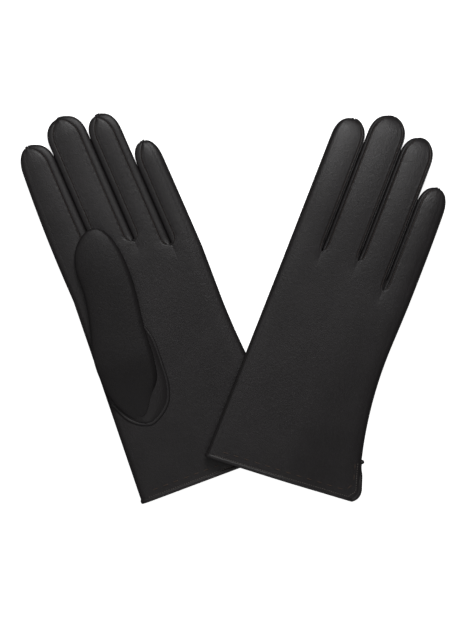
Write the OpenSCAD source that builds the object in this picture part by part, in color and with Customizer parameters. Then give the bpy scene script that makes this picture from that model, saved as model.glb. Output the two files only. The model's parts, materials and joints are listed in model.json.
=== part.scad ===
// A pair of lined leather dress gloves, lying flat in a V with their cuffs crossed.
// The left glove lies palm up, with its thumb folded across the palm. The right glove
// lies back up, propped on its own folded thumb and on the corner of the left cuff.
// Millimetres, +Z up, with the origin on the table under the middle of the pair.
//
// Each glove is drawn in its own frame: x runs from the index side to the little-finger
// side, y from the cuff to the fingertips and z from the back (0) to the palm. All the
// fingers of a glove are parallel to y. Glove 0 is the left one and glove 1 the right.

/* [Hand] */
// Distance from the cuff to the roots of the fingers
root_y = 152; // [146:1:156]
// Thickness of the empty glove at the cuff
cuff_thick = 8; // [7.6:0.1:9]
// Thickness of the empty glove at the fingers
finger_thick = 9; // [8.8:0.1:9.4]
// Extra width of the left and right cuffs on the little-finger side
cuff_flare = [14, 20]; // [6:1:22]
// Extra width of the left and right cuffs on the index side
index_flare = [4, -2.5]; // [-4:0.5:6]
// Slope of the left and right cuff edges
cuff_slope = [-0.052, 0.068]; // [-0.1:0.002:0.1]
// Lean of the left and right hands against their fingers, in degrees
hand_lean = [3, 1.2]; // [0:0.1:5]
// Radius of the corner of the cuff beside the vent
corner_r = 10; // [6:1:14]
// Length of the vent in the side seam
vent_length = 30; // [20:1:36]
// Width of the opening of the vent
vent_gap = 1.5; // [1:0.1:2]

/* [Leather] */
// Thickness of the leather
leather = 0.8; // [0.6:0.1:0.9]
// Thickness of the lining
lining = 0.4; // [0.3:0.1:0.5]
// Width of the binding round the cuff
binding_width = 3; // [2:0.5:4]
// Depth of the rolled binding through the edge of the cuff
binding_depth = 1.5; // [1.2:0.1:1.6]
// Width of the side piece of a finger on each face
seam_inset = 4; // [3:0.5:5]
// Gap between one finger and the next
finger_gap = 0.8; // [0.6:0.1:1.2]
// Gap between two pieces that fold against each other
fold_gap = 0.3; // [0.2:0.05:0.5]

/* [Fingers] */
// Edges between the fingers of the left glove, from the index side to the little finger
left_edges = [-44, -18, 8, 29, 47]; // [-60:0.5:60]
// Edges between the fingers of the right glove, from the index side to the little finger
right_edges = [-44, -22.5, 1.5, 23, 42.5]; // [-60:0.5:60]
// Bottoms of the gaps between index, middle, ring and little finger
crotch_y = [156, 156, 146]; // [142:1:160]
// First joint of the index, middle, ring and little finger
first_joint_y = [183, 186, 182, 172]; // [165:1:190]
// Second joint of the index, middle, ring and little finger
second_joint_y = [210, 218, 213, 195]; // [190:1:220]
// Tips of the left glove's index, middle, ring and little fingers
left_tip_y = [244, 253, 245, 218]; // [210:0.5:260]
// Tips of the right glove's fingers
right_tip_y = [240, 250.5, 244, 217.5]; // [210:0.5:260]
// Length of the rounded end of a finger
tip_round = 14; // [10:1:16]
// Share of a finger's width lost towards its tip
finger_taper = 0.06; // [0:0.01:0.12]

/* [Thumb] */
// Bottom of the seam where the thumb is sewn into the palm
thumb_seam_y = 48; // [44:1:52]
// Fold where the thumb turns over onto the palm
thumb_root_y = 78; // [76:1:84]
// Joint in the middle of the thumb
thumb_joint_y = 126; // [118:1:132]
// Tip of the thumb
thumb_tip_y = 176; // [170:1:178]
// Half the width of the thumb at its root and beyond its joint
thumb_half = [19, 16.7]; // [14:0.1:20]
// Middle of the left thumb across the hand, at its root and beyond its joint
left_thumb_mid = [-25.5, -18.5]; // [-28:0.5:-14]
// Middle of the right thumb across the hand, clear of the left cuff under it
right_thumb_mid = [-17.5, -15]; // [-20:0.5:-14]
// Thickness of the folded thumb
thumb_thick = 7.4; // [7:0.1:7.6]
// Length of the rounded end of the thumb
thumb_round = 24; // [18:1:26]

/* [Layout] */
// Places of the finger roots of the left and right gloves
knuckles_at = [[-66, 32.8], [79, 28.3]]; // [-120:0.1:120]
// Turns of the left and right gloves about the vertical
turn = [23.5, -21.3]; // [-40:0.1:40]
// Height of the upper face of the right glove
right_top = 17.2; // [17:0.1:18]

/* [Hand stitches] */
// Length of one tacking stitch
stitch_length = 3.5; // [2:0.5:5]
// Distance from one tacking stitch to the next
stitch_pitch = 7; // [6:0.5:10]
// Distance of the stitches from the edge of the cuff
stitch_inset = 8.5; // [7:0.5:12]
// Thickness of the stitching thread
thread = 0.5; // [0.3:0.1:0.7]

/* [Hidden] */
GLOVES = ["left", "right"];
FINGERS = ["index", "middle", "ring", "little"];
NODES = [
    for (g = GLOVES) each [
        for (part = [
            "trank", "cuff_binding", "cuff_stitches", "hand_lining", "root_fourchettes",
            "thumb_base", "thumb", "thumb_tip", "thumb_lining"
        ]) str(g, "_", part),
        for (f = FINGERS, part = [
            "middle", "middle_fourchettes", "finger_lining", "tip", "tip_fourchettes"
        ]) str(g, "_", f, "_", part)
    ]
];
node = "all";

arc_steps = 6;
far = 40;
beyond = 1000;
hand_stations = [1.5, 6, 10, 20, 35, 55, 80, 105, 125, 140];
straight_y = 140;
joined = 0.02;
cuff_y = [0, 6];
flare_y = 110;
edges = [left_edges, right_edges];
tip_y = [left_tip_y, right_tip_y];
thumb_mid = [left_thumb_mid, right_thumb_mid];
palm_hole = [thumb_half[0] + 0.5, thumb_root_y - thumb_seam_y];
thumb_low = finger_thick + fold_gap;
// Stations of the ramp at the thumb's foot: place, half width and share of its height
ramp_steps = [[62, 9, 0.16], [66, 13, 0.42], [71, 17, 0.8]];
palm_z = cuff_thick + 0.56;
lining_out = leather + 0.05;
lining_in = lining_out + lining;

leather_dark = [0.15, 0.145, 0.15];
leather_side = [0.19, 0.18, 0.185];
leather_thumb = [0.17, 0.165, 0.17];
binding_dark = [0.1, 0.095, 0.1];
lining_dark = [0.22, 0.2, 0.2];
thread_brown = [0.3, 0.22, 0.18];

// How far the hand has moved across at y, because it leans against the fingers.
function lean(g, y) = -tan(hand_lean[g]) * (straight_y - y);

// Share of the way back to the cuff from where the glove runs straight into its fingers.
function back(y) = max(0, (straight_y - y) / straight_y);

// Two edges of the hand at a distance y from the cuff.
function index_edge(g, y) = edges[g][0] + lean(g, min(y, straight_y)) - index_flare[g] * back(y);
function little_edge(g, y) = edges[g][4] + lean(g, min(y, straight_y))
    + cuff_flare[g] * pow(max(0, (flare_y - y) / flare_y), 2) - corner(y);
function corner(y) = y >= corner_r ? 0
    : corner_r - sqrt(pow(corner_r, 2) - pow(corner_r - max(y, 0), 2));

// Thickness of the flat glove, and the real y of a point on the station line y.
function thick(y) = finger_thick - (finger_thick - cuff_thick) * back(y);
function true_y(g, y, x) = y + back(y) * (cuff_y[g] + cuff_slope[g] * x);

// Middle and half width of a finger, and the rounding of a blunt end from 1 down to 0.
function finger_mid(g, f) = (edges[g][f] + edges[g][f + 1]) / 2;
function finger_half(g, f) = (edges[g][f + 1] - edges[g][f] - finger_gap) / 2;
function blunt(y, tip, length) = y <= tip - length ? 1
    : sqrt(1 - pow((y - tip + length) / length, 2));
function taper(g, f, y) =
    1 - finger_taper * max(0, (y - root_y) / (tip_y[g][f] - root_y));

// Stations along an end that rounds off at tip, closer together towards the tip.
function tip_stations(tip, length) = [for (a = [0, 20, 40, 55, 68, 78]) tip - length + length * sin(a)];

// A flat ring with round sides, from z0 to z1, centred on x at y.
function flat_ring(x, half, z0, z1, y) = let (r = (z1 - z0) / 2) [
    for (side = [1, -1], k = [0:arc_steps])
        let (a = 180 * k / arc_steps - 90)
        [x + side * (half - r + r * cos(a)), y, (z0 + z1) / 2 + side * r * sin(a)]
];

// The same ring on the slanted station line y of a glove.
function ring(g, x, half, z0, z1, y) = [
    for (p = flat_ring(x, half, z0, z1, y)) [p.x, true_y(g, y, p.x), p.z]
];

// Closed solid through a row of rings with the same number of points.
module loft(rings) {
    n = len(rings[0]);
    last = (len(rings) - 1) * n;
    sides = [
        for (i = [0:len(rings) - 2], j = [0:n - 1])
            let (a = i * n + j, b = i * n + (j + 1) % n)
            each [[a, b, b + n], [a, b + n, a + n]]
    ];
    ends = [[for (j = [n - 1:-1:0]) j], [for (j = [0:n - 1]) last + j]];
    polyhedron([for (r = rings) each r], concat(sides, ends));
}

// Hollow wall between an outer and an inner row of rings, open at its first end, and
// open or closed at its last.
module wall(outer, inner, closed = false) {
    n = len(outer[0]);
    start = len(outer) * n;
    outer_end = start - n;
    inner_end = start + (len(inner) - 1) * n;
    outer_sides = [
        for (i = [0:len(outer) - 2], j = [0:n - 1])
            let (a = i * n + j, b = i * n + (j + 1) % n)
            each [[a, b, b + n], [a, b + n, a + n]]
    ];
    inner_sides = [
        for (i = [0:len(inner) - 2], j = [0:n - 1])
            let (a = start + i * n + j, b = start + i * n + (j + 1) % n)
            each [[b, a, b + n], [b + n, a, a + n]]
    ];
    first_rim = [
        for (j = [0:n - 1])
            let (a = j, b = (j + 1) % n)
            each [[b, a, start + b], [start + b, a, start + a]]
    ];
    last_rim = [
        for (j = [0:n - 1])
            let (a = j, b = (j + 1) % n)
            each [
                [outer_end + a, outer_end + b, inner_end + b],
                [outer_end + a, inner_end + b, inner_end + a]
            ]
    ];
    last_caps = [
        [for (j = [0:n - 1]) outer_end + j],
        [for (j = [n - 1:-1:0]) inner_end + j]
    ];
    polyhedron(
        concat([for (r = outer) each r], [for (r = inner) each r]),
        concat(outer_sides, inner_sides, first_rim, closed ? last_caps : last_rim)
    );
}

// Rings of the hand between two stations, everywhere inset by off.
function hand_rings(g, off, y0, y1) = [
    for (y = concat(y0, [for (y = hand_stations) if (y > y0 + 0.2 && y < y1 - 1) y], y1))
        let (a = index_edge(g, y) + off, b = little_edge(g, y) - off)
        ring(g, (a + b) / 2, (b - a) / 2, off, thick(y) - off, y)
];

// Rings of the stretch beyond the little finger's gap, which joins the other three fingers.
function web_rings(g, off, lap) =
    let (a = edges[g][0] + off, b = edges[g][3] - finger_gap / 2 - off) [
        for (y = [crotch_y[2] - lap, crotch_y[0]])
            ring(g, (a + b) / 2, (b - a) / 2, off, finger_thick - off, y)
    ];

// Rings of one finger between two stations, or out to its rounded end if y1 is past the tip.
function finger_rings(g, f, off, y0, y1) =
    let (tip = tip_y[g][f] - off) [
        for (y = y1 < tip ? [y0, y1] : concat(y0, tip_stations(tip, tip_round - off)))
            let (
                end = blunt(y, tip, tip_round - off),
                half = (finger_half(g, f) * taper(g, f, y) - off) * end,
                deep = (finger_thick / 2 - off) * pow(end, 0.7)
            )
            ring(g, finger_mid(g, f), half, finger_thick / 2 - deep, finger_thick / 2 + deep, y)
    ];

// Hollow wall of a finger between two stations, from outer to inner below its surface.
module finger_wall(g, f, outer, inner, y0, y1) {
    wall(finger_rings(g, f, outer, y0, y1), finger_rings(g, f, inner, y0, y1), y1 > tip_y[g][f]);
}

// Hollow wall of the hand and of the roots of its fingers. Its stretches overlap by lap,
// which makes them one piece, or stand apart where lap is negative.
module glove_wall(g, outer, inner, y0, clear, lap) {
    wall(hand_rings(g, outer, y0, crotch_y[2]), hand_rings(g, inner, y0, crotch_y[2]));
    wall(web_rings(g, outer, lap), web_rings(g, inner, lap));
    for (f = [0:3])
        finger_wall(g, f, outer, inner, crotch_y[max(0, f - 1)] - lap, first_joint_y[f] - clear);
}

// Space on one side of a finger that its side piece fills, past the bottom of the gap.
module side_space(g, f, side, y0, clear) {
    x = finger_mid(g, f) + side * (finger_half(g, f) - seam_inset + clear);
    translate([side > 0 ? x : x - far, y0, -1]) cube([far, 130, finger_thick + 2]);
}

// Space round one finger, halfway to its neighbours.
module finger_span(g, f) {
    translate([edges[g][f] - 1, crotch_y[2], -1])
        cube([edges[g][f + 1] - edges[g][f] + 2, 130, finger_thick + 2]);
}

// The side spaces of one finger. The outer sides of the hand have none.
module side_spaces(g, f, clear) {
    if (f > 0) side_space(g, f, -1, crotch_y[f - 1] + clear, clear);
    if (f < 3) side_space(g, f, 1, crotch_y[f] + clear, clear);
}

// Half ellipse of the opening in the palm where the thumb is sewn in.
module thumb_opening(g, inset, z0, z1) {
    x = thumb_mid[g][0] + lean(g, thumb_root_y);
    translate([x, thumb_root_y, z0]) linear_extrude(z1 - z0) polygon([
        for (a = [180:15:360]) [(palm_hole[0] - inset) * cos(a), (palm_hole[1] - inset) * sin(a)]
    ]);
}

// Slot that parts the back from the palm at the little-finger side of the cuff.
module vent(g) {
    translate([little_edge(g, vent_length) - seam_inset, -5, cuff_thick / 2 - vent_gap / 2])
        cube([far, vent_length + 5, vent_gap]);
}

// Rings of the folded thumb between two stations, or out to its rounded end.
function thumb_rings(g, off, y0, y1) =
    let (tip = thumb_tip_y - off) [
        for (y = y1 < tip ? [y0, y1] : concat(y0, tip_stations(tip, thumb_round - off)))
            let (
                t = min(1, (y - thumb_root_y) / (thumb_joint_y - thumb_root_y)),
                end = blunt(y, tip, thumb_round - off),
                x = thumb_mid[g][0] + (thumb_mid[g][1] - thumb_mid[g][0]) * t + lean(g, y),
                half = (thumb_half[0] + (thumb_half[1] - thumb_half[0]) * t - off) * end,
                deep = (thumb_thick / 2 - off) * pow(end, 0.6),
                z = thumb_low + thumb_thick / 2
            )
            flat_ring(x, half, z - deep, z + deep, y)
    ];

// Hollow wall of the thumb between two stations.
module thumb_wall(g, outer, inner, y0, y1) {
    wall(thumb_rings(g, outer, y0, y1), thumb_rings(g, inner, y0, y1), y1 > thumb_tip_y);
}

// Solid of the ramp by which the thumb rises out of the palm, inset by off.
module thumb_ramp(g, off, low, y1) {
    top = thumb_low + thumb_thick - off;
    loft([
        for (s = concat(ramp_steps, [[y1, thumb_half[0], 1]]))
            flat_ring(
                thumb_mid[g][0] + lean(g, s[0]), s[1] - off, low,
                palm_z + (top - palm_z) * s[2], s[0] + (s[0] < thumb_root_y - 5 ? off : 0)
            )
    ]);
}

// Leather of the palm, back and finger roots: one piece, folded at the index side.
module trank(g) {
    color(leather_dark) difference() {
        glove_wall(g, 0, leather, binding_width + 0.1, fold_gap / 2, joined);
        for (f = [0:3]) intersection() {
            side_spaces(g, f, 0);
            finger_span(g, f);
        }
        thumb_opening(g, 0, finger_thick / 2, far);
        vent(g);
    }
}

// Rolled strip of leather round the edge of the cuff.
module cuff_binding(g) {
    color(binding_dark) difference() {
        wall(hand_rings(g, 0, 0, binding_width), hand_rings(g, binding_depth, 0, binding_width));
        vent(g);
    }
}

// Tacking stitches that hold the hem, on the face that lies uppermost.
module cuff_stitches(g) {
    color(thread_brown) {
        for (x = [index_edge(g, 9) + 7:stitch_pitch:little_edge(g, 9) - 12])
            cuff_stitch(g, x, stitch_inset, atan(cuff_slope[g]));
        for (y = [14:stitch_pitch:vent_length])
            cuff_stitch(g, little_edge(g, y) - stitch_inset, y, 100);
    }
}

// One tacking stitch on the leather, turned by angle.
module cuff_stitch(g, x, y, angle) {
    length_y = stitch_length * sin(angle);
    z = g == 0 ? thick(y + length_y) : -thread;
    translate([x, true_y(g, y, x), z]) rotate(angle) cube([stitch_length, thread, thread]);
}

// Knitted lining of the hand and the finger roots.
module hand_lining(g) {
    color(lining_dark) difference() {
        glove_wall(g, lining_out, lining_in, binding_width + 0.1, fold_gap, -fold_gap);
        thumb_opening(g, 4, finger_thick / 2, far);
        vent(g);
    }
}

// Side pieces of the finger roots, a pair in each gap between two fingers.
module root_fourchettes(g) {
    color(leather_side) for (f = [0:3]) intersection() {
        finger_wall(g, f, 0, leather, crotch_y[max(0, f - 1)], first_joint_y[f] - fold_gap / 2);
        side_spaces(g, f, 0.1);
    }
}

// Sewn-in foot of the thumb, flush with the palm, and the ramp up to the thumb's fold.
module thumb_base(g) {
    color(leather_thumb) difference() {
        union() {
            thumb_opening(g, 0.15, palm_z - leather, palm_z);
            thumb_ramp(g, 0, palm_z - leather, thumb_root_y - fold_gap / 2);
        }
        thumb_ramp(g, leather, finger_thick / 2, thumb_root_y + 2);
    }
}

// Thumb from its fold to its own joint.
module thumb(g) {
    color(leather_thumb)
        thumb_wall(g, 0, leather, thumb_root_y + fold_gap / 2, thumb_joint_y - fold_gap / 2);
}

// End of the thumb, closed at its tip.
module thumb_tip(g) {
    color(leather_thumb) thumb_wall(g, 0, leather, thumb_joint_y + fold_gap / 2, beyond);
}

// Lining of the thumb.
module thumb_lining(g) {
    color(lining_dark) thumb_wall(g, lining_out, lining_in, thumb_root_y + 0.5, thumb_joint_y - 0.5);
}

// Back and palm leather of a finger between its two joints.
module finger_middle(g, f) {
    color(leather_dark) difference() {
        finger_wall(g, f, 0, leather, first_joint_y[f] + fold_gap / 2, second_joint_y[f] - fold_gap / 2);
        side_spaces(g, f, 0);
    }
}

// Side pieces of a finger between its two joints.
module middle_fourchettes(g, f) {
    color(leather_side) intersection() {
        finger_wall(g, f, 0, leather, first_joint_y[f] + fold_gap / 2, second_joint_y[f] - fold_gap / 2);
        side_spaces(g, f, 0.1);
    }
}

// Lining of a finger between its two joints.
module finger_lining(g, f) {
    color(lining_dark)
        finger_wall(g, f, lining_out, lining_in, first_joint_y[f] + 0.5, second_joint_y[f] - 0.5);
}

// Back and palm leather of a fingertip.
module finger_tip(g, f) {
    color(leather_dark) difference() {
        finger_wall(g, f, 0, leather, second_joint_y[f] + fold_gap / 2, beyond);
        side_spaces(g, f, 0);
    }
}

// Side pieces of a fingertip.
module tip_fourchettes(g, f) {
    color(leather_side) intersection() {
        finger_wall(g, f, 0, leather, second_joint_y[f] + fold_gap / 2, beyond);
        side_spaces(g, f, 0.1);
    }
}

// Lays a glove in its place. The right one is turned over, with its back uppermost.
module place(g) {
    translate([knuckles_at[g].x, knuckles_at[g].y, g * right_top])
        rotate(turn[g]) translate([0, -root_y, 0]) mirror([0, 0, g]) children();
}

// Whether the sub-part of this name is drawn.
function wanted(name) = node == "all" || node == name;

for (g = [0, 1]) place(g) {
    hand = str(GLOVES[g], "_");
    if (wanted(str(hand, "trank"))) trank(g);
    if (wanted(str(hand, "cuff_binding"))) cuff_binding(g);
    if (wanted(str(hand, "cuff_stitches"))) cuff_stitches(g);
    if (wanted(str(hand, "hand_lining"))) hand_lining(g);
    if (wanted(str(hand, "root_fourchettes"))) root_fourchettes(g);
    if (wanted(str(hand, "thumb_base"))) thumb_base(g);
    if (wanted(str(hand, "thumb"))) thumb(g);
    if (wanted(str(hand, "thumb_tip"))) thumb_tip(g);
    if (wanted(str(hand, "thumb_lining"))) thumb_lining(g);
    for (f = [0:3]) {
        finger = str(hand, FINGERS[f], "_");
        if (wanted(str(finger, "middle"))) finger_middle(g, f);
        if (wanted(str(finger, "middle_fourchettes"))) middle_fourchettes(g, f);
        if (wanted(str(finger, "finger_lining"))) finger_lining(g, f);
        if (wanted(str(finger, "tip"))) finger_tip(g, f);
        if (wanted(str(finger, "tip_fourchettes"))) tip_fourchettes(g, f);
    }
}
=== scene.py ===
"""A pair of lined nappa dress gloves lying in a V, the left one palm up, on a pale studio floor.

Each glove is worked out in millimetres in its own frame, which is that of the CAD model:
x from the index side to the little finger, y from the cuff to the fingertips, z from the
back of the glove to its palm. Glove.world takes a point from there to metres in the row
frame.
"""
import json
import math

import bpy
import numpy as np
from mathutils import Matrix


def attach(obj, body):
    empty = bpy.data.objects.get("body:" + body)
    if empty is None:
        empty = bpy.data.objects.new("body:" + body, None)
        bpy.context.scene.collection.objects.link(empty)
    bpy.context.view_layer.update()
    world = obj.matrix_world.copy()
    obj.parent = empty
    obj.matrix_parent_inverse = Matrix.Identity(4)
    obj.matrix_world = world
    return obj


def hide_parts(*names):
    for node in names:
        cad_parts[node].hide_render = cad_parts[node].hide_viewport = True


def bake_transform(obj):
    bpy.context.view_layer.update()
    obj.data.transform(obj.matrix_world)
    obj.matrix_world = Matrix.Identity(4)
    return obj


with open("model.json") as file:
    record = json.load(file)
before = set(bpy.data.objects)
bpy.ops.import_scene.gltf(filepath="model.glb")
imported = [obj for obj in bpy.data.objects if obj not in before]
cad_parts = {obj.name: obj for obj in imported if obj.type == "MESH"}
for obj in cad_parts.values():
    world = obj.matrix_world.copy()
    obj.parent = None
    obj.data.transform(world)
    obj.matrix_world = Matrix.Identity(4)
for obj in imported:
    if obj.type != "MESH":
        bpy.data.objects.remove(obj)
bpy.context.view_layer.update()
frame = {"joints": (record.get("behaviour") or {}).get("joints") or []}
joints = {j["name"]: j for j in frame["joints"]}

MM = 0.001
FINGERS = ("index", "middle", "ring", "little")

# The flat glove
STRAIGHT_Y = 140.0
ROOT_Y = 152.0
CUFF_THICK = 8.0
FINGER_THICK = 9.0
CUFF_Y = (0.0, 6.0)
CUFF_SLOPE = (-0.052, 0.068)
CUFF_FLARE = (14.0, 20.0)
FLARE_Y = 110.0
INDEX_FLARE = (4.0, -2.5)
LEAN = (math.tan(math.radians(3.0)), math.tan(math.radians(1.2)))
CORNER_R = 10.0
VENT_Y = 30.0
EDGES = ((-44.0, -18.0, 8.0, 29.0, 47.0), (-44.0, -22.5, 1.5, 23.0, 42.5))
TIP_Y = ((244.0, 253.0, 245.0, 218.0), (240.0, 250.5, 244.0, 217.5))
TIP_ROUND = 15.0
TAPER = {(0, 0): 0.33, (0, 3): 0.03, (1, 0): 0.0, (1, 3): 0.1}

# Seams and leather
CROTCH_Y = {1: (159.0, 161.0, 149.0), -1: (153.0, 155.5, 143.5)}
INSET = {(1, False): 4.0, (1, True): 5.0, (-1, False): 1.8, (-1, True): 1.1}
FOLD_INSET = 4.6
LEATHER = 0.7
SEAM_DEEP = 0.35
FLAT = 0.5
LINING_IN = 1.0
LINING = 0.35
HEM = 1.2

# The index finger's first joint, and how far before its first joint a finger's own leather
# starts, and half the length of leather that bends at a joint
INDEX_JOINT_Y = 183.0
CUT = 10.0
BEND = 9.0

# Tacking stitches that hold the lining's hem, and how far in the seam stitches lie
TACK = (3.5, 0.27, 7.0)
TACK_IN = 6.4
STITCH_IN = {1: 0.1, -1: 1.0}

# The folded thumb: both sides as (y, x), the seam at its foot and where the gusset tucks under
# it as (x, y), and its height over the palm. The right thumb lies THUMB_SHIFT further across
THUMB_LEFT = (
    (49.0, -32.0), (57.0, -39.5), (67.0, -44.8), (88.0, -47.6),
    (103.0, -46.0), (120.0, -40.6), (137.0, -36.2), (176.0, -35.0),
)
THUMB_RIGHT = (
    (49.0, -29.0), (57.0, -25.0), (66.5, -18.8), (74.0, -13.6),
    (83.0, -11.0), (106.0, -8.2), (137.0, -3.0), (176.0, -2.6),
)
FOOT_SEAM = (
    (-47.5, 70.0), (-41.5, 56.5), (-33.0, 49.5), (-25.4, 49.0), (-14.6, 56.0),
    (-9.4, 67.2), (-7.6, 81.0), (-6.6, 97.0), (-8.4, 107.0),
)
FOOT_TUCK = (
    (-44.0, 73.0), (-38.5, 61.0), (-33.0, 54.5), (-28.5, 55.5), (-22.5, 62.5),
    (-17.0, 70.0), (-14.0, 81.0), (-12.5, 95.0), (-11.5, 107.5),
)
THUMB_LOW = 9.3
THUMB_DEEP = 7.4
THUMB_TIP_Y = 178.4
THUMB_ROUND = 27.0
THUMB_SHIFT = 9.0
FOOT_RISE = 2.8

# How far the right glove sags at its fingertips and at the outer side of its cuff
TIP_SAG = 7.0
CUFF_SAG = 6.5
SAG_Y = 176.0

# Stitches: length, radius and pitch
SEAM_STITCH = (1.15, 0.23, 1.65)
EDGE_STITCH = (1.1, 0.22, 1.5)
EDGE_STITCH_IN = 2.7

# Half sizes of the rolled binding, and of its end at the vent
BINDING_WIDE = 1.35
BINDING_DEEP = 0.62
NUB_WIDE = 1.5
NUB_DEEP = 1.7


def smooth(t):
    """Smooth step from 0 to 1."""
    t = np.clip(t, 0.0, 1.0)
    return t * t * (3 - 2 * t)


def quarter(t):
    """Quarter of a circle: rises steeply from 0 and levels out at 1."""
    t = np.clip(t, 0.0, 1.0)
    return np.sqrt(1 - (1 - t) ** 2)


def curve(points, t):
    """Catmull-Rom curve through points, at shares t of its length."""
    p = np.array(points, float)
    p = np.vstack([2 * p[0] - p[1], p, 2 * p[-1] - p[-2]])
    step = np.linalg.norm(np.diff(p, axis=0), axis=1)[1:-1]
    s = np.concatenate([[0], np.cumsum(step)])
    at = np.clip(np.asarray(t, float), 0, 1) * s[-1]
    i = np.clip(np.searchsorted(s, at, side="right") - 1, 0, len(step) - 1)
    u = ((at - s[i]) / step[i])[..., None]
    a, b, c, d = p[i], p[i + 1], p[i + 2], p[i + 3]
    return 0.5 * (
        2 * b + (c - a) * u + (2 * a - 5 * b + 4 * c - d) * u**2 + (3 * b - a - 3 * c + d) * u**3
    )


def level(pairs, y):
    """Value at y on a smooth line through (y, value) pairs."""
    p = np.array(pairs, float)
    i = np.clip(np.searchsorted(p[:, 0], y, side="right") - 1, 0, len(p) - 2)
    slope = np.gradient(p[:, 1], p[:, 0])
    h = p[i + 1, 0] - p[i, 0]
    u = np.clip((y - p[i, 0]) / h, 0, 1)
    h00, h10 = 2 * u**3 - 3 * u**2 + 1, u**3 - 2 * u**2 + u
    return h00 * p[i, 1] + h10 * h * slope[i] + (1 - h00) * p[i + 1, 1] + (u**3 - u**2) * h * slope[i + 1]


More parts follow.
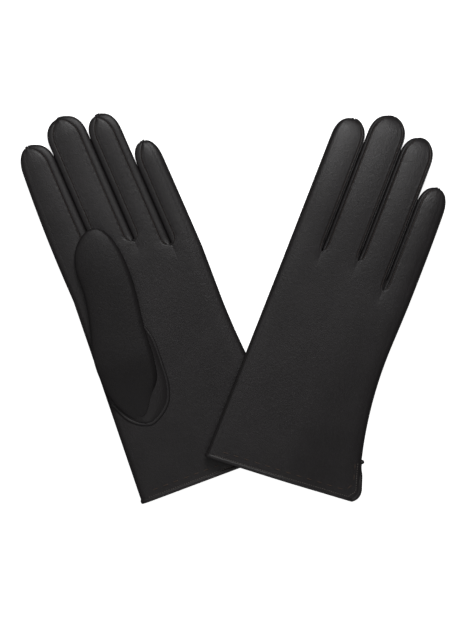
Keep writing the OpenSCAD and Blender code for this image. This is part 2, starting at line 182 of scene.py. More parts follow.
class Glove:
    """Shape of one glove. g is 0 for the left and 1 for the right."""

    def __init__(self, g):
        self.g = g
        self.name = ("left", "right")[g]
        self.up = 1 - 2 * g
        first = joints[f"{self.name}_index_first_joint"]
        self.ax = np.array(first["axis"], float) * self.up
        self.ay = np.array([-self.ax[1], self.ax[0], 0.0])
        self.az = np.array([0.0, 0.0, self.up])
        at = np.array(first["pos_m"], float) / MM
        mid = (EDGES[g][0] + EDGES[g][1]) / 2
        self.origin = at - mid * self.ax - INDEX_JOINT_Y * self.ay - FINGER_THICK * self.az
        self.first_y = [self.hinge_y(f"{f}_first_joint") for f in FINGERS]
        self.second_y = [self.hinge_y(f"{f}_second_joint") for f in FINGERS]

    def hinge_y(self, joint):
        """Distance from the cuff of one of the glove's hinges."""
        at = np.array(joints[f"{self.name}_{joint}"]["pos_m"], float) / MM
        return float((at - self.origin) @ self.ay)

    def bend(self, y, before=BEND, after=BEND):
        """Start and end of the leather that bends at a hinge at y."""
        high = FINGER_THICK * self.az
        return tuple((self.origin + (y + d) * self.ay + high) * MM for d in (-before, after))

    def direction(self, v):
        """Direction from the glove frame to the row frame."""
        return v[..., :1] * self.ax + v[..., 1:2] * self.ay + v[..., 2:] * self.az

    def world(self, p):
        """Glove frame in millimetres to row frame in metres."""
        p = np.asarray(p, float)
        x, y, z = p[..., 0], p[..., 1], p[..., 2]
        out = self.origin + x[..., None] * self.ax + y[..., None] * self.ay + z[..., None] * self.az
        if self.g == 1:
            out[..., 2] -= self.droop(x, y)
        return out * MM

    def droop(self, x, y):
        """How far the right glove sags towards the table, off the glove and the thumb under it."""
        tips = TIP_SAG * np.clip((y - SAG_Y) / 74.0, 0, 1.2) ** 2
        side = CUFF_SAG * smooth((x - 2.0) / 52.0) * (1 - smooth((y - 20.0) / 120.0))
        return tips + side

    def lean(self, y):
        return -LEAN[self.g] * (STRAIGHT_Y - y)

    def back(self, y):
        return np.maximum(0.0, (STRAIGHT_Y - y) / STRAIGHT_Y)

    def thick(self, y):
        return FINGER_THICK - (FINGER_THICK - CUFF_THICK) * self.back(y)

    def true_y(self, y, x):
        return y + self.back(y) * (CUFF_Y[self.g] + CUFF_SLOPE[self.g] * x)

    def outer(self, y):
        """Index edge and little-finger edge of the hand and its outer fingers."""
        g, yy = self.g, np.minimum(y, STRAIGHT_Y)
        a = EDGES[g][0] + self.lean(yy) - INDEX_FLARE[g] * self.back(yy)
        b = EDGES[g][4] + self.lean(yy) + CUFF_FLARE[g] * np.maximum(0, (FLARE_Y - y) / FLARE_Y) ** 2
        near = np.clip(y, 0, CORNER_R)
        b = b - (CORNER_R - np.sqrt(CORNER_R**2 - (CORNER_R - near) ** 2))
        return a, b

    def gap_x(self, i, y):
        """Line i across the glove: its index edge, the three gaps and its little-finger edge."""
        y = np.asarray(y, float)
        a, b = self.outer(y)
        e = EDGES[self.g]
        share = (e[i] - e[0]) / (e[4] - e[0])
        return a + share * (b - a)

    def finger(self, f, y):
        """Extent of finger f at y: its two sides, half its thickness, and how full its end still is."""
        y = np.asarray(y, float)
        x0, x1 = self.gap_x(f, y), self.gap_x(f + 1, y)
        tip = TIP_Y[self.g][f]
        past = np.clip((y - ROOT_Y) / (tip - ROOT_Y), 0, 1)
        mid, half = (x0 + x1) / 2, (x1 - x0) / 2
        taper = 1 - TAPER.get((self.g, f), 0.0) * past**2
        u = np.clip((y - tip + TIP_ROUND) / TIP_ROUND, 0, 1)
        end = np.maximum(0.0, 1 - u**2.3) ** (1 / 2.3)
        left = half * end * (taper if f == 0 else 1.0)
        right = half * end * (taper if f == 3 else 1.0)
        return mid - left, mid + right, self.thick(y) / 2 * end**0.8, end

    def seam(self, f, y, side, right):
        """Seam or fold line on one side of finger f: how far in it lies, and its level."""
        gap = f if right else f - 1
        end = self.finger(f, y)[3]
        if gap < 0 or gap > 2:
            return FOLD_INSET * end, np.full_like(y, 0.86)
        past = y - CROTCH_Y[side][gap]
        near_tip = np.clip((y - TIP_Y[self.g][f] + TIP_ROUND) / TIP_ROUND, 0, 1)
        inset = INSET[side, right] * (1 + 0.7 * near_tip**2) * quarter(past / 6.0) * end**0.5
        level_at = 1 - 0.13 * smooth((past + 13) / 13) - 0.05 * smooth(past / 5)
        return inset, level_at

    def flap(self, f, y, side, cols):
        """Palm (side 1) or back (side -1) leather of finger f: rows y, columns cols."""
        y = np.asarray(y, float)
        cols = np.broadcast_to(cols, (len(y), np.shape(cols)[-1]))
        x0, x1, deep, end = self.finger(f, y)
        in0, w0 = self.seam(f, y, side, False)
        in1, w1 = self.seam(f, y, side, True)
        a, b = (x0 + in0)[:, None], (x1 - in1)[:, None]
        x = a + (b - a) * cols
        v = cols * 2 - 1
        w = np.where(v < 0, w0[:, None], w1[:, None])
        z = deep[:, None] * (1 - (1 - w) * np.abs(v) ** 2.6)
        z = z + self.relief(f, y[:, None], side, x - a, b - x, end[:, None], x)
        zc = self.thick(y)[:, None] / 2
        return np.stack([x, self.true_y(y[:, None], x), zc + side * z], -1)

    def along_seam(self, f, y, side, right, inset):
        """Points on a flap, inset from one of its seams."""
        x0, x1, _, _ = self.finger(f, y)
        in0, _ = self.seam(f, y, side, False)
        in1, _ = self.seam(f, y, side, True)
        share = inset / np.maximum(x1 - in1 - x0 - in0, 2 * inset)
        return self.flap(f, y, side, (1 - share if right else share)[:, None])[:, 0]

    def relief(self, f, y, side, d0, d1, end, x):
        """Raised seam edges, puckers along them, and the slow waves of empty leather."""
        z = 0.16 * np.sin(x / 11 + 1.7 * np.sin(y / 31 + self.g)) * np.sin(y / 19 + 0.7) * end
        to_tip = TIP_Y[self.g][f] - y
        z = z + 0.16 * np.sin(2.1 * x + f) * np.exp(-(((to_tip - 2.2) / 2.0) ** 2)) * end
        for gap, d in ((f - 1, d0), (f, d1)):
            if gap < 0 or gap > 2:
                continue
            past = y - CROTCH_Y[side][gap]
            on = smooth((past + 1.0) / 2.5) * end
            stitch = STITCH_IN[-1] if side < 0 else 0.8
            z = z - on * SEAM_DEEP * np.exp(-((d / 0.22) ** 2))
            z = z + on * 0.2 * np.exp(-(((d - 0.5) / 0.35) ** 2))
            z = z - on * (0.22 if side < 0 else 0.05) * np.exp(-(((d - stitch) / 0.3) ** 2))
            z = z + on * 0.12 * np.exp(-(((d - stitch - 0.8) / 0.6) ** 2))
            z = z + on * 0.07 * np.sin(y * 1.35 + 2 * gap) * np.exp(-d / 2.2)
        # The back of the left glove lies on the table, so nothing there stands out of it
        return np.minimum(z, 0.0) if self.g == 0 and side < 0 else z

    def side_strip(self, f, y, right, cols, from_gap=False):
        """Side of finger f round from its palm seam (0) to its back seam (1)."""
        y = np.asarray(y, float)
        gap = f if right else f - 1
        t = cols[None, :]
        if from_gap:
            palm_y, back_y = CROTCH_Y[1][gap], CROTCH_Y[-1][gap]
            base = palm_y * (1 - t) + back_y * t
            fade = 1 - smooth((y - y[0]) / 14.0)
            yy = y[:, None] + fade[:, None] * (base - y[0])
        else:
            yy = y[:, None] + 0 * t
        flat = yy.ravel()
        x0, x1, deep, _ = self.finger(f, flat)
        edge = x1 if right else x0
        way = 1 if right else -1
        in_p, w_p = self.seam(f, flat, 1, right)
        in_b, w_b = self.seam(f, flat, -1, right)
        tt = np.broadcast_to(t, yy.shape).ravel()
        inset = in_p * (1 - tt) + in_b * tt
        angle = np.pi / 2 - np.pi * tt
        w = np.where(angle > 0, w_p, w_b)
        x = edge - way * inset * (1 - np.cos(angle))
        rise = np.sign(angle) * np.abs(np.sin(angle)) ** (FLAT if 0 <= gap <= 2 else 1.0)
        z = self.thick(flat) / 2 + deep * w * rise
        if 0 <= gap <= 2:
            on = smooth((flat - CROTCH_Y[1][gap] + 3) / 3) * np.abs(rise)
            z = z - np.sign(angle) * on * SEAM_DEEP * ((tt == 0) | (tt == 1))
        p = np.stack([x, self.true_y(flat, x), z], -1)
        return p.reshape(yy.shape + (3,))

    def outer_side(self, y, cols, side):
        """Half of the little finger's outer side. It stands open below the top of the vent."""
        y = np.asarray(y, float)
        _, x1, deep, _ = self.finger(3, y)
        inset, w = self.seam(3, y, side, True)
        angle = np.pi / 2 * (1 - cols[None, :])
        opened = (1 - smooth((y - 12.0) / (VENT_Y - 12.0)))[:, None]
        x = x1[:, None] - inset[:, None] * (1 - np.cos(angle))
        x = x - (1 - opened) * 0.45 * np.exp(-((angle / 0.16) ** 2))
        rise = np.sin(angle) * (1 - opened) + opened * (1 - 0.35 * np.cos(angle) ** 2)
        z = self.thick(y)[:, None] / 2 + side * (deep * w)[:, None] * rise
        return np.stack([x, self.true_y(y[:, None], x), z], -1)

    def section(self, f0, f1, y, off):
        """Lining: rows y of a line from the outer side of finger f1 over the palm, round f0 and back."""
        y = np.asarray(y, float)
        x0, _, deep, end = self.finger(f0, y)
        _, x1, _, _ = self.finger(f1, y)
        x0, x1, end = (x0 + off * end)[:, None], (x1 - off * end)[:, None], end[:, None]
        round_off = np.minimum(FOLD_INSET * end, (x1 - x0) / 2)
        high = (0.86 * (deep - off * end[:, 0]))[:, None]
        turn = np.linspace(0, np.pi / 2, 7)[None, :]
        level_part = np.linspace(0, 1, 13)[None, 1:-1]
        opened = (1 - smooth((y - 12.0) / (VENT_Y - 12.0)))[:, None] if f1 == 3 else 0 * x0
        rise = np.sin(turn) * (1 - opened) + opened * (1 - 0.35 * np.cos(turn) ** 2)
        right_x = x1 - round_off * (1 - np.cos(turn))
        left_x = x0 + round_off * (1 - np.sin(turn))
        flat_x = x1 - round_off - (x1 - x0 - 2 * round_off) * level_part
        flat_z = high + 0 * flat_x
        over_x = [right_x, flat_x, left_x[:, ::-1]]
        under_x = [left_x[:, 1:], flat_x[:, ::-1], right_x[:, ::-1]]
        x = np.concatenate(over_x + under_x, 1)
        left_z = high * np.cos(turn)
        over_z = [high * rise, flat_z, left_z]
        under_z = [-left_z[:, ::-1][:, 1:], -flat_z, -(high * rise)[:, ::-1]]
        z = np.concatenate(over_z + under_z, 1)
        zc = self.thick(y)[:, None] / 2
        return np.stack([x, self.true_y(y[:, None], x), zc + z], -1)

    def lip(self, side):
        """Cuff edge on one side, from the middle of the index fold to the top of the vent.

        Returns points and the directions square to the leather.
        """
        a = np.linspace(0, np.pi / 2, 7)[:-1]
        y0 = np.array([HEM])
        x0, _, deep, _ = self.finger(0, y0)
        fold = np.stack([x0 + FOLD_INSET * (1 - np.cos(a)), 0 * a, side * deep * 0.86 * np.sin(a)], -1)
        fold[:, 2] += self.thick(y0) / 2
        fold[:, 1] = self.true_y(HEM, fold[:, 0])
        n_fold = np.stack([-np.cos(a), 0 * a, side * np.sin(a)], -1)
        edge = np.concatenate([self.flap(f, y0, side, np.linspace(0, 1, 9)[:-1])[0] for f in range(4)])
        n_edge = np.tile([0.0, 0.0, side], (len(edge), 1))
        corner = self.outer_side(y0, np.linspace(0, 1, 5)[:-1], side)[0]
        n_corner = np.tile([0.0, 0.0, side], (len(corner), 1))
        up = HEM + (VENT_Y - 3.0 - HEM) * np.linspace(0, 1, 26) ** 1.6
        vent = self.outer_side(up, np.array([1.0]), side)[:, 0]
        turn = smooth((up - 16.0) / 11.0)
        n_vent = np.stack([turn, 0 * up, side * (1 - turn) + 0 * up], -1)
        n = np.concatenate([n_fold, n_edge, n_corner, n_vent])
        return (
            np.concatenate([fold, edge, corner, vent]),
            n / np.linalg.norm(n, axis=1, keepdims=True),
        )

    def hem_line(self, side, inset):
        """Line that runs inset from the cuff's edge, and from the vent's edge to its top."""
        y = np.array([float(inset)])
        across = np.concatenate([self.flap(f, y, side, np.linspace(0, 1, 9))[0] for f in range(4)])
        end = self.outer(np.array([CORNER_R + 1.0]))[1][0] - inset
        across = across[across[:, 0] < end - 1.5]
        up = np.linspace(inset + 4.0, VENT_Y - 2.0, 12)
        edge = self.outer(up)[1]
        x = np.minimum(edge - np.minimum(inset, 2.2 + 0.35 * inset), end + 0.12 * (up - inset))
        rise = self.top(x, up, side)
        vent = np.stack([x, self.true_y(up, x), rise], -1)
        return np.concatenate([across, vent])

    def top(self, x, y, side):
        """Height of the palm or the back of the hand at a point below the fingers."""
        a, b = self.outer(y)
        d = np.minimum(x - a, b - x)
        half = self.thick(y) / 2
        cell = (EDGES[self.g][1] - EDGES[self.g][0] - FOLD_INSET) / 2
        v = np.clip(1 - (d - FOLD_INSET) / cell, 0, 1)
        w = 1 - 0.14 * v**2.6
        w = np.where(d < FOLD_INSET, 0.86 * quarter(d / FOLD_INSET), w)
        return half + side * half * w

    def thumb_ring(self, y, off=0.0, around=44):
        """Sections of the thumb, which rises out of the palm at its foot and lies over it."""
        y = np.asarray(y, float)
        left, right = level(THUMB_LEFT, y), level(THUMB_RIGHT, y)
        if self.g == 1:
            left, right = left + THUMB_SHIFT, right + THUMB_SHIFT
        past = np.clip((y - THUMB_TIP_Y + THUMB_ROUND) / THUMB_ROUND, 0, 1)
        end = np.sqrt(1 - past**2)
        mid = ((left + right) / 2 + 3.5 * past**2)[:, None]
        half = ((right - left) / 2 * end - off * end)[:, None]
        grow = smooth((y - 40.0) / 56.0)
        deep = (np.maximum(THUMB_DEEP / 2 * (0.1 + 0.9 * grow) - off, 0.2) * end**0.6)[:, None]
        zc = (THUMB_LOW + THUMB_DEEP / 2 * (0.1 + 0.9 * grow) - 1.0 * (1 - smooth((y - 50) / 30)))[:, None]
        a = (2 * np.pi * np.arange(around) / around)[None, :]
        c, s = np.cos(a), np.sin(a)
        x = mid + half * np.sign(c) * np.abs(c) ** 0.85
        z = deep * np.sign(s) * np.abs(s) ** 0.72
        if off == 0:
            seam = np.exp(-(((a - 0.62) / 0.09) ** 2)) - 0.7 * np.exp(-(((a - 0.36) / 0.09) ** 2))
            z = z + 0.3 * seam * end[:, None] * smooth((y - 66) / 12)[:, None]
            wave = np.sin(x / 9 + 0.5) * np.sin(y[:, None] / 14 + 1.1 * self.g)
            z = z + 0.22 * wave * np.maximum(s, 0) * end[:, None]
        return np.stack([x, y[:, None] + 0 * x, zc + z], -1)


def add_object(name, verts, faces, material, flip=False):
    """A smooth mesh object with sharp edges where it turns a corner."""
    if flip:
        faces = [tuple(reversed(f)) for f in faces]
    mesh = bpy.data.meshes.new(name)
    mesh.from_pydata([tuple(v) for v in verts], [], [tuple(int(i) for i in f) for f in faces])
    mesh.validate()
    mesh.polygons.foreach_set("use_smooth", [True] * len(mesh.polygons))
    mesh.set_sharp_from_angle(angle=math.radians(52))
    mesh.materials.append(material)
    obj = bpy.data.objects.new(name, mesh)
    bpy.context.scene.collection.objects.link(obj)
    return obj


def grid_faces(rows, cols, start=0, wrap=False):
    """Quads of a grid of points, closed round its columns if wrap."""
    faces = []
    last = cols if wrap else cols - 1
    for r in range(rows - 1):
        for c in range(last):
            d = (c + 1) % cols
            a, b = start + r * cols, start + (r + 1) * cols
            faces.append((a + c, a + d, b + d, b + c))
    return faces


def welded(grids, wrap=False):
    """One vertex and face list of several grids, with points that coincide made one."""
    verts, faces = [], []
    for p in grids:
        rows, cols = p.shape[:2]
        faces += grid_faces(rows, cols, sum(len(v) for v in verts), wrap)
        verts.append(p.reshape(-1, 3))
    verts = np.concatenate(verts)
    keys = np.round(verts / (2e-3 * MM)).astype(np.int64)
    _, first, same = np.unique(keys, axis=0, return_index=True, return_inverse=True)
    same = same.ravel()
    out = []
    for f in faces:
        ids = []
        for i in f:
            k = int(same[i])
            if k not in ids:
                ids.append(k)
        if len(ids) > 2:
            out.append(tuple(ids))
    return verts[first], out


def normals(verts, faces):
    """Vertex normals, weighted by the areas of the faces round each vertex."""
    n = np.zeros_like(verts)
    for size in (3, 4):
        f = np.array([f for f in faces if len(f) == size])
        if not len(f):
            continue
        a, b, c = verts[f[:, 0]], verts[f[:, 1]], verts[f[:, 2]]
        d = verts[f[:, 3]] if size == 4 else a
        face = np.cross(c - a, d - b if size == 4 else c - b)
        for k in range(size):
            np.add.at(n, f[:, k], face)
    return n / np.maximum(np.linalg.norm(n, axis=1, keepdims=True), 1e-20)


def shell(name, grids, thickness, material, slot, flip, wrap=False):
    """A sheet of even thickness that lies under grids of points, closed round its rim."""
    verts, faces = welded(grids, wrap)
    if flip:
        faces = [tuple(reversed(f)) for f in faces]
    inner = verts - normals(verts, faces) * thickness * MM
    n = len(verts)
    edges = {}
    for f in faces:
        for a, b in zip(f, f[1:] + f[:1]):
            edges[(a, b)] = True
    rim = [(b, a, a + n, b + n) for a, b in edges if (b, a) not in edges]
    inside = [tuple(i + n for i in reversed(f)) for f in faces]
    return add_object(name, np.vstack([verts, inner]), faces + inside + rim, material)


def tube(name, path, out, side, wide, deep, material, flip=False, around=12, closed=False):
    """A rounded strip along path: half as wide as wide along side and as deep along out."""
    a = 2 * np.pi * np.arange(around) / around
    p = path[:, None, :] + (
        wide * np.cos(a)[None, :, None] * side[:, None, :] + deep * np.sin(a)[None, :, None] * out[:, None, :]
    )
    rows = len(path)
    faces = grid_faces(rows, around, wrap=True)
    if closed:
        faces += [
            ((rows - 1) * around + c, (rows - 1) * around + (c + 1) % around, (c + 1) % around, c)
            for c in range(around)
        ]
    else:
        faces += [tuple(reversed(range(around))), tuple((rows - 1) * around + c for c in range(around))]
    return add_object(name, p.reshape(-1, 3), faces, material, flip)


def threads(name, at, way, up, length, radius, material, slot):
    """Short stitches of thread, each a small spindle pressed into the leather."""
    rings = ((-0.5, 0.25), (-0.34, 0.8), (0.0, 1.0), (0.34, 0.8), (0.5, 0.25))
    sides = 6
    verts, faces = [], []
    for p, w, u in zip(at, way, up):
        w = w / np.linalg.norm(w)
        s = np.cross(u, w)
        s = s / np.linalg.norm(s)
        start = len(verts)
        for along, size in rings:
            for k in range(sides):
                a = 2 * math.pi * k / sides
                r = radius * size
                arch = radius * 0.9 * (1 - (2 * along) ** 2)
                verts.append(p + w * along * length + s * r * math.cos(a) + u * (r * math.sin(a) + arch))
        faces += grid_faces(len(rings), sides, start, wrap=True)
        end = start + (len(rings) - 1) * sides
        faces.append(tuple(start + k for k in reversed(range(sides))))
        faces.append(tuple(end + k for k in range(sides)))
    return add_object(name, np.array(verts), faces, material)


# ---------------------------------------------------------------- materials


def node(tree, kind, **values):
    """A shader node with its inputs set by name."""
    n = tree.nodes.new(kind)
    for key, value in values.items():
        n.inputs[key.replace("_", " ")].default_value = value
    return n


def leather(name, dark, light, rough, grain, shine=0.38):
    """Smooth glove leather: two close colours, fine pores and a slow change in its polish."""
    mat = bpy.data.materials.new(name)
    mat.use_nodes = True
    tree = mat.node_tree
    bsdf = tree.nodes["Principled BSDF"]
    where = tree.nodes.new("ShaderNodeTexCoord")
    patches = node(tree, "ShaderNodeTexNoise", Scale=45.0, Detail=4.0, Roughness=0.6)
    tint = tree.nodes.new("ShaderNodeValToRGB")
    tint.color_ramp.elements[0].position = 0.3
    tint.color_ramp.elements[0].color = (*dark, 1)
    tint.color_ramp.elements[1].position = 0.72
    tint.color_ramp.elements[1].color = (*light, 1)
    polish = tree.nodes.new("ShaderNodeMapRange")
    polish.inputs["To Min"].default_value = rough - 0.05
    polish.inputs["To Max"].default_value = rough + 0.07
    pores = node(tree, "ShaderNodeTexVoronoi", Scale=1500.0)
    creases = node(tree, "ShaderNodeTexNoise", Scale=380.0, Detail=6.0, Roughness=0.68, Distortion=1.1)
    mix = tree.nodes.new("ShaderNodeMath")
    mix.operation = "MULTIPLY_ADD"
    mix.inputs[1].default_value = 0.22
    bump = node(tree, "ShaderNodeBump", Strength=grain, Distance=0.0004)
    link = tree.links.new
    for texture in (patches, pores, creases):
        link(where.outputs["Object"], texture.inputs["Vector"])
    link(patches.outputs["Fac"], tint.inputs["Fac"])
    link(tint.outputs["Color"], bsdf.inputs["Base Color"])
    link(patches.outputs["Fac"], polish.inputs["Value"])
    link(polish.outputs["Result"], bsdf.inputs["Roughness"])
    link(pores.outputs["Distance"], mix.inputs[0])
    link(creases.outputs["Fac"], mix.inputs[2])
    link(mix.outputs["Value"], bump.inputs["Height"])
    link(bump.outputs["Normal"], bsdf.inputs["Normal"])
    bsdf.inputs["Specular IOR Level"].default_value = shine
    return mat


def cloth(name, colour, rough, shine=0.3):
    """Fine cloth or thread: one colour in two close shades, with a fine weave."""
    mat = bpy.data.materials.new(name)
    mat.use_nodes = True
    tree = mat.node_tree
    bsdf = tree.nodes["Principled BSDF"]
    where = tree.nodes.new("ShaderNodeTexCoord")
    weave = node(tree, "ShaderNodeTexNoise", Scale=1800.0, Detail=2.0)
    tint = tree.nodes.new("ShaderNodeValToRGB")
    tint.color_ramp.elements[0].color = (*[c * 0.75 for c in colour], 1)
    tint.color_ramp.elements[1].color = (*colour, 1)
    bump = node(tree, "ShaderNodeBump", Strength=0.4, Distance=0.0001)
    link = tree.links.new
    link(where.outputs["Object"], weave.inputs["Vector"])
    link(weave.outputs["Fac"], tint.inputs["Fac"])
    link(tint.outputs["Color"], bsdf.inputs["Base Color"])
    link(weave.outputs["Fac"], bump.inputs["Height"])
    link(bump.outputs["Normal"], bsdf.inputs["Normal"])
    bsdf.inputs["Roughness"].default_value = rough
    bsdf.inputs["Specular IOR Level"].default_value = shine
    return mat


GLOVE = leather("glove nappa", (0.0145, 0.0128, 0.0134), (0.0185, 0.0162, 0.017), 0.42, 0.5)
SIDES = leather("fourchette nappa", (0.0135, 0.0118, 0.0124), (0.017, 0.0148, 0.0156), 0.45, 0.45)
# The thumb is the glove's own nappa, painted darker and given less shine: painted shade, as the thumb lies
# over the palm and catches less light
SHADED_THUMB_LEATHER = leather("thumb nappa", (0.0098, 0.0086, 0.009), (0.0128, 0.0112, 0.0118), 0.47, 0.5, 0.26)
BINDING = leather("binding nappa", (0.013, 0.0114, 0.012), (0.0175, 0.0152, 0.016), 0.42, 0.2)
LINING_CLOTH = cloth("lining", (0.016, 0.014, 0.014), 0.9)
THREAD = cloth("sewing thread", (0.055, 0.04, 0.033), 0.7, 0.2)
# Pale thread beside the binding: real stitches, whose light colour also paints the glints along the binding's
# raised edge
EDGE_THREAD_PAINTED_GLINT = cloth("edge thread", (0.13, 0.115, 0.105), 0.5)
TACKING = cloth("tacking thread", (0.08, 0.055, 0.043), 0.65)


# ---------------------------------------------------------------- pieces

# Shares across a flap, closer together beside its seams, and round the side of a finger
NEAR_SEAM = np.array([0, 0.22, 0.45, 0.7, 0.95, 1.25, 1.55, 2.0, 2.7, 4.0]) / 18
COLS = np.concatenate([NEAR_SEAM, np.linspace(0.35, 0.65, 4), 1 - NEAR_SEAM[::-1]])
ROUND = np.array([0, 0.03, 0.08, 0.15, 0.24, 0.33, 0.41, 0.47, 0.53, 0.59, 0.67, 0.76, 0.85, 0.92, 0.97, 1])
HALF_ROUND = np.linspace(0, 1, 6)
HEM_ROWS = np.array([0, 0.8, 1.8, 3, 4.5, 6.5, 9])

# The raised seam round the thumb's foot: how far out of the line, and how high
SEAM_BEAD = ((0.8, -0.6), (0.45, 0.1), (0.0, 0.28), (-0.4, 0.1), (-0.7, -0.12))

# Thickness, material and slot of each kind of sheet
SHEETS = {
    "leather": (LEATHER, GLOVE, "glove_leather"),
    # The thumb: glove leather painted darker, as painted shade
    "thumb": (LEATHER, SHADED_THUMB_LEATHER, "glove_leather"),
    "sides": (LEATHER, SIDES, "side_leather"),
    "lining": (LINING, LINING_CLOTH, "lining"),
}


def tip_rows(y0, tip, length):
    """Rows from y0 to the end of a finger, closer together round its end."""
    a = np.linspace(0, np.pi / 2, 15)
    straight = np.arange(y0, tip - length, 1.25)
    return np.concatenate([straight, tip - length + length * np.sin(a)])


def leather_grids(glove, f, y):
    """Back, palm and outer edge of one finger's share of the glove, facing outwards."""
    grids = [glove.flap(f, y, 1, COLS), glove.flap(f, y, -1, COLS)[:, ::-1]]
    if f == 0:
        grids.append(glove.side_strip(0, y, False, ROUND)[:, ::-1])
    if f == 3:
        grids.append(glove.outer_side(y, HALF_ROUND, 1))
        grids.append(glove.outer_side(y, HALF_ROUND, -1)[:, ::-1])
    return [glove.world(p) for p in grids]


def side_grids(glove, f, y, hand=False):
    """The fourchettes of one finger. In the hand they start at the gap between the fingers."""
    grids = []
    for right in (False, True):
        gap = f if right else f - 1
        if gap < 0 or gap > 2:
            continue
        rows = np.arange(CROTCH_Y[-1][gap], glove.first_y[f] - CUT + 0.01, 1.0) if hand else y
        if hand:
            rows = np.append(rows[:-1], glove.first_y[f] - CUT)
        p = glove.side_strip(f, rows, right, ROUND, hand)
        grids.append(glove.world(p if right else p[:, ::-1]))
    return grids


def seam_threads(glove, f, y0, y1):
    """Stitches beside the seams of one finger between two rows: places, directions, outward."""
    at, way, up = [], [], []
    for side in (-1, 1):
        for right in (False, True):
            gap = f if right else f - 1
            if gap < 0 or gap > 2:
                continue
            start = max(y0, CROTCH_Y[side][gap] + 2.0)
            y = np.arange(start, min(y1, TIP_Y[glove.g][f] - 2.0), SEAM_STITCH[2])
            if not len(y):
                continue
            a = glove.world(glove.along_seam(f, y, side, right, STITCH_IN[side]))
            b = glove.world(glove.along_seam(f, y + 0.5, side, right, STITCH_IN[side]))
            at += list(a)
            way += list(b - a)
            up += [np.array([0.0, 0.0, side * glove.up])] * len(a)
    return at, way, up


def sheet(glove, label, kind, grids, turned=False, wrap=False):
    """One of a glove's sheets. The right glove mirrors the left, so its faces turn over."""
    flip = (glove.g == 1) != turned
    return shell(f"{glove.name}_{label}", grids, *SHEETS[kind], flip, wrap)


def build_hand(glove):
    """The leather of the hand, one skin that the fingers continue, and its fourchettes."""
    name = glove.name
    grids = []
    for f in range(4):
        stop = glove.first_y[f] - CUT
        palm_rows, root_rows = np.arange(12.8, 138, 2.6), np.arange(138, stop - 0.6, 1.3)
        y = np.concatenate([HEM + HEM_ROWS, palm_rows, root_rows, [stop]])
        grids += leather_grids(glove, f, y)
    trank = sheet(glove, "glove_leather", "leather", grids)
    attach(trank, f"{name}_hand")
    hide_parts(f"{name}_trank")
    roots = [p for f in range(4) for p in side_grids(glove, f, None, hand=True)]
    sides = sheet(glove, "root_sides", "sides", roots)
    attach(sides, f"{name}_hand")
    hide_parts(f"{name}_root_fourchettes")


def sew(glove, label, stitches):
    """The seam stitches of one stretch of leather."""
    length, radius, _ = SEAM_STITCH
    return threads(f"{glove.name}_{label}", *stitches, length * MM, radius * MM, THREAD, "thread")


def build_finger(glove, f):
    """A finger in two lengths, each of which spans one of its joints."""
    name, finger = glove.name, FINGERS[f]
    hinges = (glove.first_y[f], glove.second_y[f])
    cuts = (hinges[0] - CUT, (hinges[0] + hinges[1]) / 2, TIP_Y[glove.g][f])
    for k, part in enumerate(("middle", "tip")):
        y0, y1 = cuts[k : k + 2]
        y = tip_rows(y0, y1, TIP_ROUND) if k else np.linspace(y0, y1, 20)
        skin = sheet(glove, f"{finger}_leather_{k + 1}", "leather", leather_grids(glove, f, y))
        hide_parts(f"{name}_{finger}_{part}")
        strips = sheet(glove, f"{finger}_sides_{k + 1}", "sides", side_grids(glove, f, y))
        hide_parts(f"{name}_{finger}_{part}_fourchettes")
        inner = glove.world(glove.section(f, f, y[:-1] if k else y, LINING_IN))
        lining = sheet(glove, f"{finger}_lining_{k + 1}", "lining", [inner], turned=True)
        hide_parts(f"{name}_{finger}_finger_lining")
        sewn = sew(glove, f"{finger}_stitches_{k + 1}", seam_threads(glove, f, y0, y1))
        for obj in (skin, strips, lining, sewn):
            glove.bend(hinges[k])
            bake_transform(obj)


def build_root_stitches(glove):
    """Stitches beside the seams between the roots of the fingers, which ride on the hand."""
    at, way, up = [], [], []
    for f in range(4):
        a, w, u = seam_threads(glove, f, 100.0, glove.first_y[f] - CUT)
        at, way, up = at + a, way + w, up + u
    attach(sew(glove, "root_stitches", (at, way, up)), f"{glove.name}_hand")


def build_hand_lining(glove):
    """The lining of the palm and the back."""
    y = np.concatenate([HEM + 0.6 + np.arange(0, 138, 3.0), [144.0, 150.0]])
    inner = glove.world(glove.section(0, 3, y, LINING_IN))
    lining = sheet(glove, "hand_lining_cloth", "lining", [inner], turned=True)
    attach(lining, f"{glove.name}_hand")
    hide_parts(f"{glove.name}_hand_lining")


def build_thumb(glove):
    """A thumb in two lengths, and its lining."""
    name = glove.name
    hinges = (glove.hinge_y("thumb_root"), glove.hinge_y("thumb_joint"))
    cut = (hinges[0] + hinges[1]) / 2
    lower, upper = np.arange(49.5, cut + 0.01, 1.3), tip_rows(cut, THUMB_TIP_Y, THUMB_ROUND)
    lower[-1] = cut
    nodes = (f"{name}_thumb", f"{name}_thumb_tip")
    for k, y in enumerate((lower, upper)):
        outside = glove.world(glove.thumb_ring(y))
        # The thumb's leather is painted darker than the glove's: painted shade
        skin = sheet(glove, f"thumb_leather_{k + 1}", "thumb", [outside], turned=True, wrap=True)
        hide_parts(nodes[k])
        inside = glove.world(glove.thumb_ring(y[:-2] if k else y[10:], LINING_IN, 24))
        lining = sheet(glove, f"thumb_lining_{k + 1}", "lining", [inside], turned=True, wrap=True)
        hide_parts(f"{name}_thumb_lining")
        for obj in (skin, lining):
            # The leather span at each joint, for the tip clear of the palm and not before its joint, is
            # worked out but not used
            bend = glove.bend(hinges[k], BEND * (1 - k), BEND * (1 + k))
            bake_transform(obj)


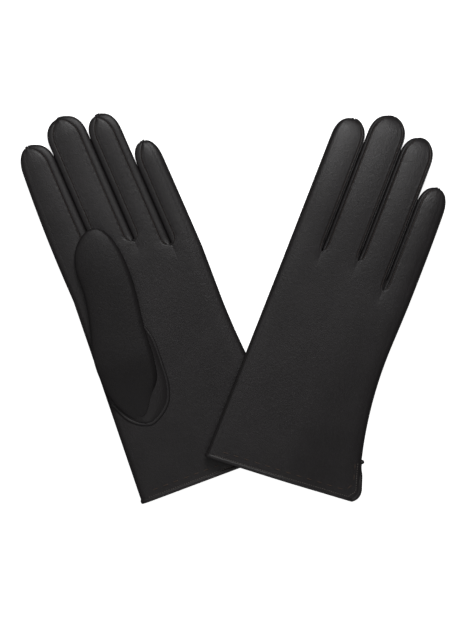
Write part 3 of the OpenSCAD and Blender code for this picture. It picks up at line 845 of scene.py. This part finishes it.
def build_gusset(glove):
    """The seam round the thumb's foot, and the leather between it and the thumb."""
    t = np.linspace(0, 1, 70)
    seam, tuck = curve(FOOT_SEAM, t), curve(FOOT_TUCK, t)
    if glove.g == 1:
        seam[:, 0] += THUMB_SHIFT
        tuck[:, 0] += THUMB_SHIFT
    rise = FOOT_RISE * smooth(t * 2.2)
    line = np.column_stack([seam, glove.top(seam[:, 0], seam[:, 1], 1)])
    across = np.column_stack([tuck - seam, 0 * t])
    outward = -across / np.linalg.norm(across, axis=1, keepdims=True)
    lift = np.array([0.0, 0.0, 1.0])
    rows = [line + outward * d + lift * h for d, h in SEAM_BEAD]
    rows += [line + across * k + lift * (rise[:, None] * k**0.6) for k in (0.35, 0.6, 0.85, 1.1)]
    gusset = sheet(glove, "thumb_gusset", "sides", [glove.world(np.stack(rows, 1))])
    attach(gusset, f"{glove.name}_hand")
    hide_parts(f"{glove.name}_thumb_base")


def build_binding(glove):
    """The rolled binding round the mouth and the vent."""
    palm, n_palm = glove.lip(1)
    back, n_back = glove.lip(-1)
    path = np.concatenate([palm, back[::-1][1:-1]])
    out = np.concatenate([n_palm, n_back[::-1][1:-1]])
    side = np.cross(np.roll(path, -1, 0) - np.roll(path, 1, 0), out)
    side /= np.linalg.norm(side, axis=1, keepdims=True)
    binding = tube(
        f"{glove.name}_binding", glove.world(path), glove.direction(out), glove.direction(side),
        BINDING_WIDE * MM, BINDING_DEEP * MM, BINDING, glove.g == 1, 14, closed=True,
    )
    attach(binding, f"{glove.name}_hand")
    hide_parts(f"{glove.name}_cuff_binding")


def build_vent_nub(glove):
    """The end of the binding, folded over at the top of the vent."""
    top_y = np.array([VENT_Y - 2.2])
    place = np.array([glove.outer(top_y)[1][0] - 0.6, 0.0, glove.thick(top_y)[0] / 2])
    place[1] = glove.true_y(top_y[0], place[0])
    run = np.linspace(-3.4, 2.3, 9)[:, None] * np.array([[0.93, 0.36, 0.0]]) + place
    size = np.sqrt(1 - np.linspace(-0.98, 0.98, 9) ** 4)[:, None, None]
    ones = np.ones((9, 1))
    upright, beside = glove.direction(ones * [0, 0, 1.0]), glove.direction(ones * [-0.36, 0.93, 0])
    nub = tube(
        f"{glove.name}_vent_nub", glove.world(run), upright, beside,
        NUB_WIDE * MM * size, NUB_DEEP * MM * size, BINDING, glove.g == 0,
    )
    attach(nub, f"{glove.name}_hand")


def build_hem_stitches(glove, label, inset, stitch, material, sides):
    """A row of stitches that follows the cuff's edge and the vent at a distance inset."""
    length, radius, pitch = stitch
    at, way, up = [], [], []
    for side in sides:
        pts = glove.hem_line(side, inset)
        step = np.concatenate([[0], np.cumsum(np.linalg.norm(np.diff(pts, axis=0), axis=1))])
        for dist in np.arange(pitch, step[-1] - pitch / 2, pitch):
            here = np.array([np.interp(dist, step, pts[:, k]) for k in range(3)])
            there = np.array([np.interp(dist + 0.4, step, pts[:, k]) for k in range(3)])
            a, b = glove.world(here[None])[0], glove.world(there[None])[0]
            at.append(a)
            way.append(b - a)
            up.append(np.array([0.0, 0.0, side * glove.up]))
    sewn = threads(f"{glove.name}_{label}", at, way, up, length * MM, radius * MM, material, "thread")
    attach(sewn, f"{glove.name}_hand")
    return sewn


def build(glove):
    """All the pieces of one glove."""
    build_hand(glove)
    for f in range(4):
        build_finger(glove, f)
    build_root_stitches(glove)
    build_hand_lining(glove)
    build_thumb(glove)
    build_gusset(glove)
    build_binding(glove)
    build_vent_nub(glove)
    # The pale edge stitches are thread and also a painted highlight along the binding
    build_hem_stitches(glove, "binding_stitches", EDGE_STITCH_IN, EDGE_STITCH, EDGE_THREAD_PAINTED_GLINT, (1, -1))
    # The tacking is seen only on the side of each glove that lies up
    tacking = build_hem_stitches(glove, "tacking", TACK_IN, TACK, TACKING, (glove.up,))
    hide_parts(f"{glove.name}_cuff_stitches")


for g in (0, 1):
    build(Glove(g))


# ---------------------------------------------------------------- table, light and camera

floor_mesh = bpy.data.meshes.new("floor")
floor_mesh.from_pydata([(-15, -15, 0), (15, -15, 0), (15, 15, 0), (-15, 15, 0)], [], [(0, 1, 2, 3)])
floor = bpy.data.objects.new("floor", floor_mesh)
floor.location.z = -0.0005
bpy.context.scene.collection.objects.link(floor)
white = bpy.data.materials.new("white table")
white.use_nodes = True
table = white.node_tree.nodes["Principled BSDF"].inputs
table["Base Color"].default_value = (0.93, 0.93, 0.93, 1)
table["Roughness"].default_value = 0.9
table["Specular IOR Level"].default_value = 0.1
table["Emission Color"].default_value = (1, 1, 1, 1)
table["Emission Strength"].default_value = 0.9
floor_mesh.materials.append(white)
floor.visible_diffuse = False
floor.visible_glossy = False

for label, at, size, power in (
    ("key softbox", (0.05, 0.85, 0.95), 0.45, 8.2),
    ("overhead softbox", (0.05, 0.5, 1.4), 0.8, 2.25),
    ("left softbox", (-1.0, 0.1, 1.1), 0.7, 1.5),
    ("near softbox", (0.1, -1.0, 1.2), 0.8, 2.6),
):
    data = bpy.data.lights.new(label, "AREA")
    data.size = size
    data.energy = power
    lamp = bpy.data.objects.new(label, data)
    lamp.location = at
    aim = -np.array(at)
    tilt = math.acos(-aim[2] / np.linalg.norm(aim))
    lamp.rotation_euler = (tilt, 0, math.atan2(aim[1], aim[0]) - math.pi / 2)
    bpy.context.scene.collection.objects.link(lamp)

world = bpy.data.worlds.new("studio")
world.use_nodes = True
world.node_tree.nodes["Background"].inputs["Color"].default_value = (1, 1, 1, 1)
world.node_tree.nodes["Background"].inputs["Strength"].default_value = 0.08
bpy.context.scene.world = world

camera = bpy.data.cameras.new("camera")
camera.lens = 100
camera.sensor_width = 36
cam = bpy.data.objects.new("camera", camera)
cam.location = (0.0011, -0.0007, 1.118)
bpy.context.scene.collection.objects.link(cam)
bpy.context.scene.camera = cam
bpy.context.scene.view_settings.view_transform = "Standard"
